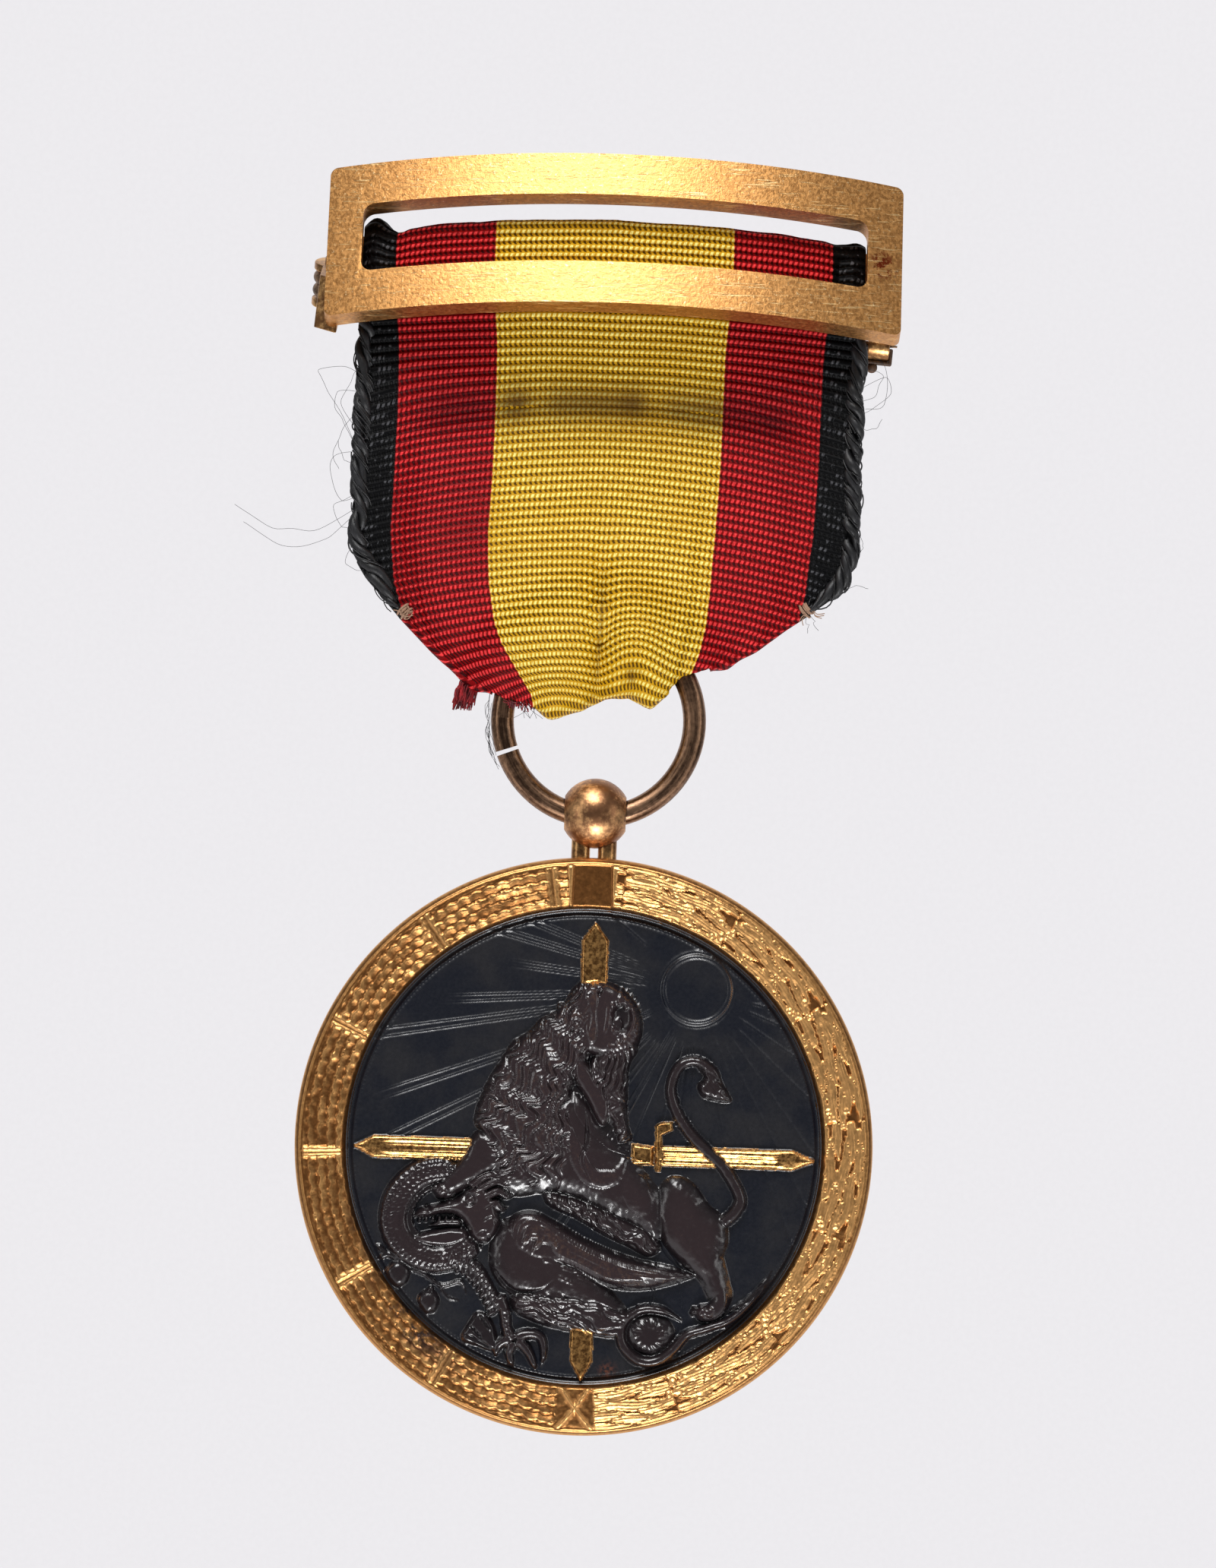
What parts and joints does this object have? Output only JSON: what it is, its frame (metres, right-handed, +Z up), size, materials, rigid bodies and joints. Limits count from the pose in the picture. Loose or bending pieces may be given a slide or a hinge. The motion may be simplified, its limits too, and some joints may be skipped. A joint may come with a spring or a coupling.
{
  "type": "campaign medal",
  "caption": "Round struck medal on a folded striped ribbon with a split ring, a drilled ball and a curved brooch buckle whose hinged pin fastens it to cloth.",
  "frame": {"origin": "on the axis of the brooch pin's needle, half way along its straight stretch", "axes": "+Z up as the medal hangs, -Y out of the front face, +X towards the wearer's left"},
  "size_m": [0.0381, 0.0123, 0.0819],
  "materials": {
    "gilt_buckle": "worn satin gilt",
    "gilt_wire": "polished gilt wire",
    "dark_bronze": "dark browned bronze",
    "medal_gilt": "gilt rim with a blackened field and browned figures",
    "ribbon": "ribbed black, red and yellow ribbon",
    "brown_thread": "waxed brown sewing thread"
  },
  "bodies": {
    "brooch": {"buckle_frame": "gilt_buckle", "ribbon_bar": "gilt_buckle", "hinge_lug": "gilt_buckle", "hinge_rivet": "dark_bronze", "catch_hook": "gilt_buckle", "catch_thread": "brown_thread", "ribbon_upper": "ribbon"},
    "pin": {"brooch_pin": "gilt_wire"},
    "ribbon": {"ribbon_lower": "ribbon", "corner_tack_left": "brown_thread", "corner_tack_right": "brown_thread", "hem_stitches": "brown_thread"},
    "ring": {"suspension_ring": "dark_bronze"},
    "medal": {"suspension_ball": "gilt_buckle", "ball_stem": "dark_bronze", "medal_disc": "medal_gilt"}
  },
  "joints": [
    {"name": "pin_hinge", "type": "hinge", "parent": "brooch", "child": "pin", "pos_m": [-0.01813, 0.00085, 0.00158], "axis": [0.0655, -0.342, 0.9374], "range_deg": [0, 65]},
    {"name": "ribbon_bend", "type": "hinge", "parent": "brooch", "child": "ribbon", "pos_m": [0, -0.0032, -0.00254], "axis": [-1, 0, 0], "range_deg": [-25, 90]},
    {"name": "ring_swing", "type": "hinge", "parent": "ribbon", "child": "ring", "pos_m": [0, -0.0032, -0.02324], "axis": [-1, 0, 0], "range_deg": [-10, 10]},
    {"name": "medal_swing", "type": "hinge", "parent": "ring", "child": "medal", "pos_m": [0, -0.0032, -0.03213], "axis": [-1, 0, 0], "range_deg": [-110, 110]}
  ]
}
